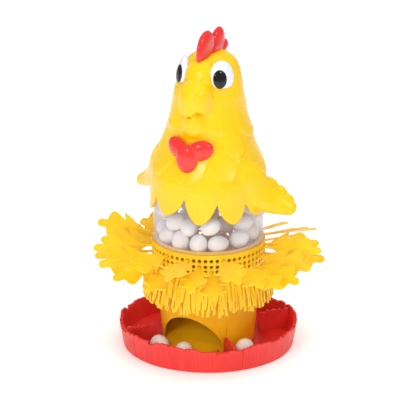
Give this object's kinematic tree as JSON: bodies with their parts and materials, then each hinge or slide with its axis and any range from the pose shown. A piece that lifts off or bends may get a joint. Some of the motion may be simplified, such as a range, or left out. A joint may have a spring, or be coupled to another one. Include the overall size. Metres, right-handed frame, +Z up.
{
  "type": "egg-drop skill game",
  "caption": "Hen-shaped egg-drop table game: fenced round tray, turning tower with chute, straw skirt and clear egg drum, pull-out feather sticks and a lift-off hen cover.",
  "frame": {"origin": "middle of the tray's underside, on the table and on the axis that the tower turns about", "axes": "+Z up along the tower's axis; the hen and the chute's arch face -Y at rest; +X is the hen's left"},
  "size_m": [0.2812, 0.2671, 0.383],
  "materials": {
    "tray_red": "moulded, satin",
    "steel": "zinc plated",
    "chute_orange": "moulded, satin",
    "straw_yellow": "moulded, satin",
    "feather_yellow": "moulded, satin",
    "hen_yellow": "glossy",
    "comb_red": "glossy",
    "egg_white": "satin",
    "eye_white": "glossy",
    "pupil_black": "glossy",
    "clear_drum": "clear moulded plastic, polished"
  },
  "bodies": {
    "tray": {"tray": "tray_red", "pivot_washer": "steel", "pivot_screw": "steel"},
    "tower": {"chute": "chute_orange", "egg_ramp": "chute_orange", "collar": "straw_yellow", "straw_skirt": "straw_yellow", "egg_drum": "clear_drum"},
    "hen": {"hen_cover": "hen_yellow", "comb": "comb_red", "wattle": "comb_red", "eye_left": "eye_white", "eye_right": "eye_white", "pupil_left": "pupil_black", "pupil_right": "pupil_black"},
    "egg_load": {"drum_egg_01": "egg_white", "drum_egg_02": "egg_white", "drum_egg_03": "egg_white", "drum_egg_04": "egg_white", "drum_egg_05": "egg_white", "drum_egg_06": "egg_white", "drum_egg_07": "egg_white", "drum_egg_08": "egg_white", "drum_egg_09": "egg_white", "drum_egg_10": "egg_white", "drum_egg_11": "egg_white", "drum_egg_12": "egg_white"},
    "stick_01": {"feather_01": "feather_yellow"},
    "stick_02": {"feather_02": "feather_yellow"},
    "stick_03": {"feather_03": "feather_yellow"},
    "stick_04": {"feather_04": "feather_yellow"},
    "stick_05": {"feather_05": "feather_yellow"},
    "stick_06": {"feather_06": "feather_yellow"},
    "stick_07": {"feather_07": "feather_yellow"},
    "stick_08": {"feather_08": "feather_yellow"},
    "stick_09": {"feather_09": "feather_yellow"},
    "stick_10": {"feather_10": "feather_yellow"},
    "stick_11": {"feather_11": "feather_yellow"},
    "stick_12": {"feather_12": "feather_yellow"},
    "stick_13": {"feather_13": "feather_yellow"},
    "stick_14": {"feather_14": "feather_yellow"},
    "stick_15": {"feather_15": "feather_yellow"},
    "stick_16": {"feather_16": "feather_yellow"},
    "stick_17": {"feather_17": "feather_yellow"},
    "stick_18": {"feather_18": "feather_yellow"},
    "stick_19": {"feather_19": "feather_yellow"},
    "stick_20": {"feather_20": "feather_yellow"},
    "stick_21": {"feather_21": "feather_yellow"},
    "stick_22": {"feather_22": "feather_yellow"},
    "stick_23": {"feather_23": "feather_yellow"},
    "stick_24": {"feather_24": "feather_yellow"},
    "stick_25": {"feather_25": "feather_yellow"},
    "stick_26": {"feather_26": "feather_yellow"},
    "stick_27": {"feather_27": "feather_yellow"},
    "stick_28": {"feather_28": "feather_yellow"},
    "stick_29": {"feather_29": "feather_yellow"},
    "stick_30": {"feather_30": "feather_yellow"},
    "fallen_egg_left": {"tray_egg_left": "egg_white"},
    "fallen_egg_middle": {"tray_egg_middle": "egg_white"},
    "fallen_egg_right": {"tray_egg_right": "egg_white"}
  },
  "joints": [
    {"name": "tower_turn", "type": "hinge", "parent": "tray", "child": "tower", "pos_m": [0, 0, 0.007], "axis": [0, 0, 1], "continuous": true},
    {"name": "cover_lift", "type": "slide", "parent": "tower", "child": "hen", "axis": [0, 0, 1], "range_m": [0, 0.2]},
    {"name": "eggs_lift", "type": "slide", "parent": "tower", "child": "egg_load", "axis": [0, 0, 1], "range_m": [0, 0.04]},
    {"name": "feather_pull_01", "type": "slide", "parent": "tower", "child": "stick_01", "axis": [0.1045, -0.9945, 0], "range_m": [0, 0.05]},
    {"name": "feather_pull_02", "type": "slide", "parent": "tower", "child": "stick_02", "axis": [0.3086, -0.9498, -0.0523], "range_m": [0, 0.05]},
    {"name": "feather_pull_03", "type": "slide", "parent": "tower", "child": "stick_03", "axis": [0.4973, -0.8613, -0.1045], "range_m": [0, 0.05]},
    {"name": "feather_pull_04", "type": "slide", "parent": "tower", "child": "stick_04", "axis": [0.6691, -0.7431, 0], "range_m": [0, 0.05]},
    {"name": "feather_pull_05", "type": "slide", "parent": "tower", "child": "stick_05", "axis": [0.8079, -0.587, -0.0523], "range_m": [0, 0.05]},
    {"name": "feather_pull_06", "type": "slide", "parent": "tower", "child": "stick_06", "axis": [0.9085, -0.4045, -0.1045], "range_m": [0, 0.05]},
    {"name": "feather_pull_07", "type": "slide", "parent": "tower", "child": "stick_07", "axis": [0.9728, -0.2068, -0.1045], "range_m": [0, 0.05]},
    {"name": "feather_pull_08", "type": "slide", "parent": "tower", "child": "stick_08", "axis": [0.9986, 0, -0.0523], "range_m": [0, 0.05]},
    {"name": "feather_pull_09", "type": "slide", "parent": "tower", "child": "stick_09", "axis": [0.9781, 0.2079, 0], "range_m": [0, 0.05]},
    {"name": "feather_pull_10", "type": "slide", "parent": "tower", "child": "stick_10", "axis": [0.9085, 0.4045, -0.1045], "range_m": [0, 0.05]},
    {"name": "feather_pull_11", "type": "slide", "parent": "tower", "child": "stick_11", "axis": [0.8079, 0.587, -0.0523], "range_m": [0, 0.05]},
    {"name": "feather_pull_12", "type": "slide", "parent": "tower", "child": "stick_12", "axis": [0.6691, 0.7431, 0], "range_m": [0, 0.05]},
    {"name": "feather_pull_13", "type": "slide", "parent": "tower", "child": "stick_13", "axis": [0.4973, 0.8613, -0.1045], "range_m": [0, 0.05]},
    {"name": "feather_pull_14", "type": "slide", "parent": "tower", "child": "stick_14", "axis": [0.3086, 0.9498, -0.0523], "range_m": [0, 0.05]},
    {"name": "feather_pull_15", "type": "slide", "parent": "tower", "child": "stick_15", "axis": [0.1045, 0.9945, 0], "range_m": [0, 0.05]},
    {"name": "feather_pull_16", "type": "slide", "parent": "tower", "child": "stick_16", "axis": [-0.1044, 0.9932, -0.0523], "range_m": [0, 0.05]},
    {"name": "feather_pull_17", "type": "slide", "parent": "tower", "child": "stick_17", "axis": [-0.3073, 0.9458, -0.1045], "range_m": [0, 0.05]},
    {"name": "feather_pull_18", "type": "slide", "parent": "tower", "child": "stick_18", "axis": [-0.4993, 0.8648, -0.0523], "range_m": [0, 0.05]},
    {"name": "feather_pull_19", "type": "slide", "parent": "tower", "child": "stick_19", "axis": [-0.6655, 0.7391, -0.1045], "range_m": [0, 0.05]},
    {"name": "feather_pull_20", "type": "slide", "parent": "tower", "child": "stick_20", "axis": [-0.809, 0.5878, 0], "range_m": [0, 0.05]},
    {"name": "feather_pull_21", "type": "slide", "parent": "tower", "child": "stick_21", "axis": [-0.9123, 0.4062, -0.0523], "range_m": [0, 0.05]},
    {"name": "feather_pull_22", "type": "slide", "parent": "tower", "child": "stick_22", "axis": [-0.9728, 0.2068, -0.1045], "range_m": [0, 0.05]},
    {"name": "feather_pull_23", "type": "slide", "parent": "tower", "child": "stick_23", "axis": [-1, 0, 0], "range_m": [0, 0.034]},
    {"name": "feather_pull_24", "type": "slide", "parent": "tower", "child": "stick_24", "axis": [-0.9768, -0.2076, -0.0523], "range_m": [0, 0.05]},
    {"name": "feather_pull_25", "type": "slide", "parent": "tower", "child": "stick_25", "axis": [-0.9085, -0.4045, -0.1045], "range_m": [0, 0.05]},
    {"name": "feather_pull_26", "type": "slide", "parent": "tower", "child": "stick_26", "axis": [-0.809, -0.5878, 0], "range_m": [0, 0.05]},
    {"name": "feather_pull_27", "type": "slide", "parent": "tower", "child": "stick_27", "axis": [-0.6682, -0.7421, -0.0523], "range_m": [0, 0.05]},
    {"name": "feather_pull_28", "type": "slide", "parent": "tower", "child": "stick_28", "axis": [-0.4973, -0.8613, -0.1045], "range_m": [0, 0.05]},
    {"name": "feather_pull_29", "type": "slide", "parent": "tower", "child": "stick_29", "axis": [-0.309, -0.9511, 0], "range_m": [0, 0.05]},
    {"name": "feather_pull_30", "type": "slide", "parent": "tower", "child": "stick_30", "axis": [-0.104, -0.9891, -0.1045], "range_m": [0, 0.05]},
    {"name": "pick_up_egg_left", "type": "slide", "parent": "tray", "child": "fallen_egg_left", "axis": [0, 0, 1], "range_m": [0, 0.028]},
    {"name": "pick_up_egg_middle", "type": "slide", "parent": "tray", "child": "fallen_egg_middle", "axis": [0, 0, 1], "range_m": [0, 0.028]},
    {"name": "pick_up_egg_right", "type": "slide", "parent": "tray", "child": "fallen_egg_right", "axis": [0, 0, 1], "range_m": [0, 0.028]}
  ]
}
